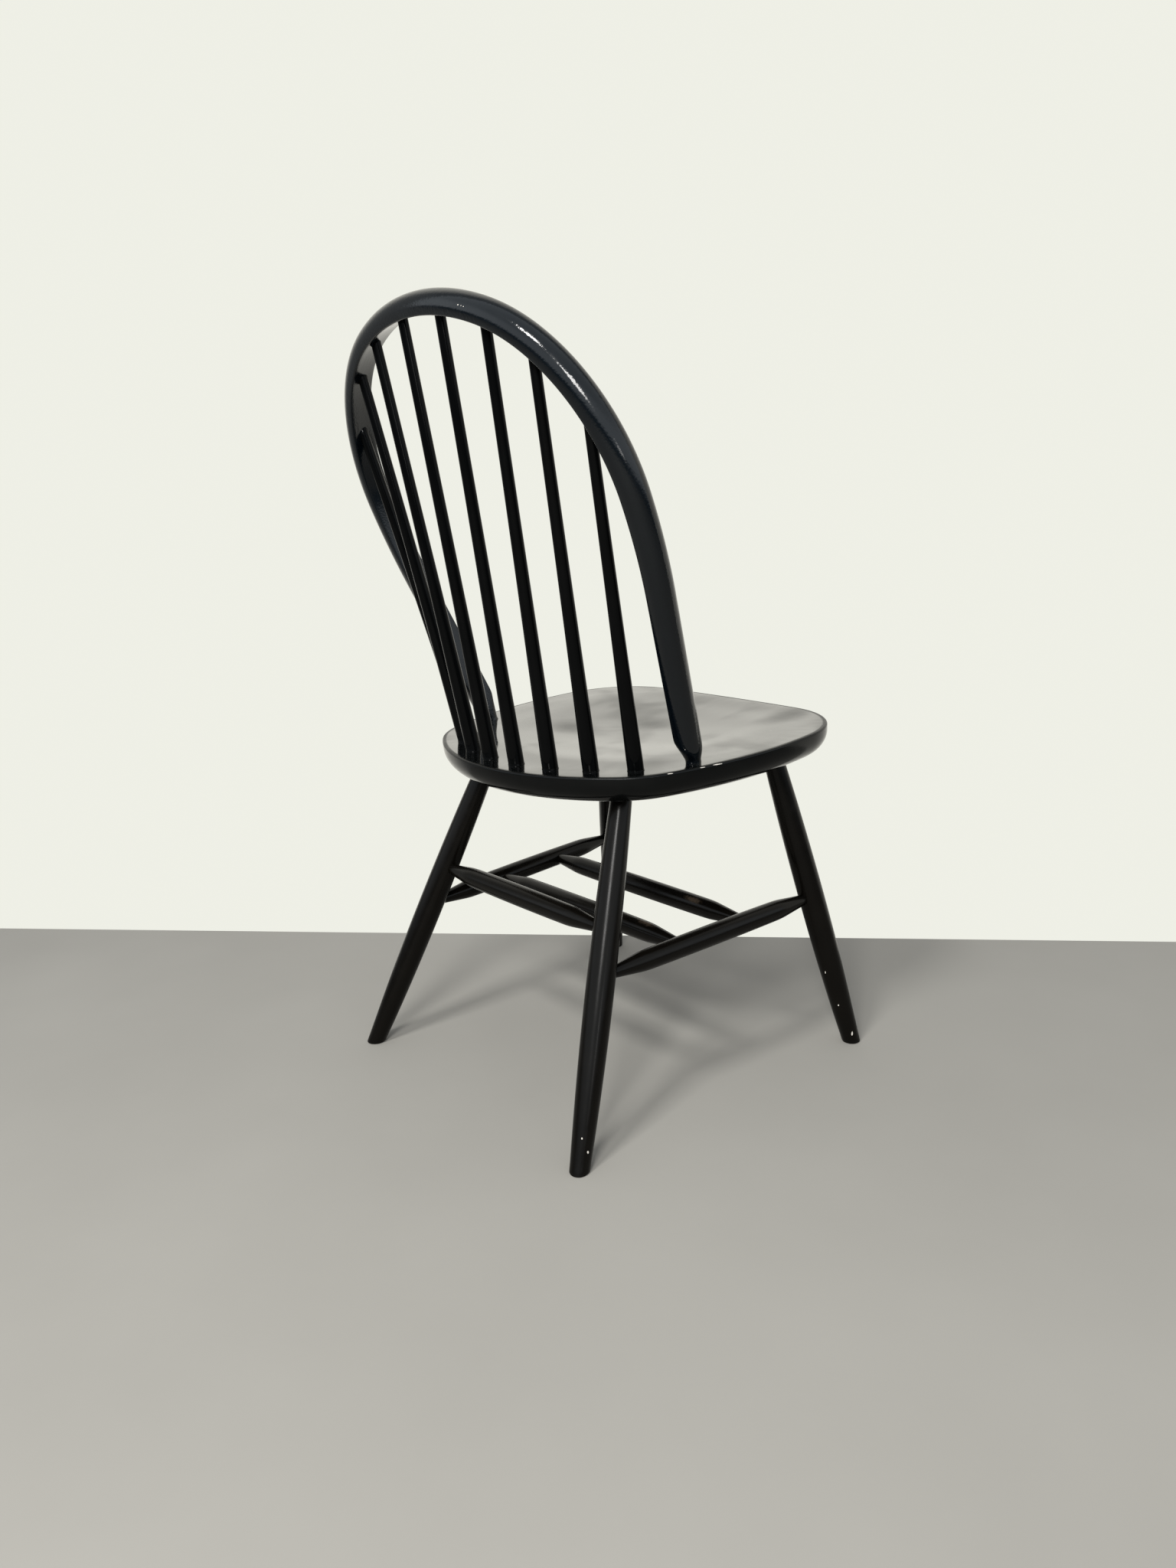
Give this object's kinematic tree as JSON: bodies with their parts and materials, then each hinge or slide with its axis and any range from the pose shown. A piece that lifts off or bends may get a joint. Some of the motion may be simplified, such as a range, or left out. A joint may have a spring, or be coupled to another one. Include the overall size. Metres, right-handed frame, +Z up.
{
  "type": "windsor chair",
  "caption": "Bow-back windsor side chair in gloss black wood, with a dished seat, tapered spindles, splayed turned legs and a crossed stretcher frame.",
  "frame": {"origin": "on the floor, at the middle of the chair's overall box", "axes": "+Z up from the floor to the bow's crown, -Y the way the sitter faces, +X the sitter's left"},
  "size_m": [0.497, 0.4774, 0.9053],
  "materials": {
    "seat_lacquer": "gloss black lacquer",
    "bow_lacquer": "gloss black lacquer",
    "spindle_lacquer": "gloss black lacquer",
    "leg_lacquer": "gloss black lacquer",
    "bare_wood": "bare"
  },
  "bodies": {
    "root": {"seat": "seat_lacquer", "bow": "bow_lacquer", "spindle_left_1": "spindle_lacquer", "spindle_right_1": "spindle_lacquer", "spindle_left_2": "spindle_lacquer", "spindle_right_2": "spindle_lacquer", "spindle_left_3": "spindle_lacquer", "spindle_right_3": "spindle_lacquer", "spindle_left_4": "spindle_lacquer", "spindle_right_4": "spindle_lacquer", "leg_front_left": "leg_lacquer", "leg_front_right": "leg_lacquer", "leg_rear_left": "leg_lacquer", "leg_rear_right": "leg_lacquer", "side_stretcher_left": "leg_lacquer", "side_stretcher_right": "leg_lacquer", "cross_stretcher_rear": "leg_lacquer", "cross_stretcher_front": "leg_lacquer", "rear_stretcher": "leg_lacquer", "leg_wedge_front_left": "bare_wood", "leg_wedge_front_right": "bare_wood", "leg_wedge_rear_left": "bare_wood", "leg_wedge_rear_right": "bare_wood", "bow_wedge_left": "bare_wood", "bow_wedge_right": "bare_wood"}
  },
  "joints": []
}
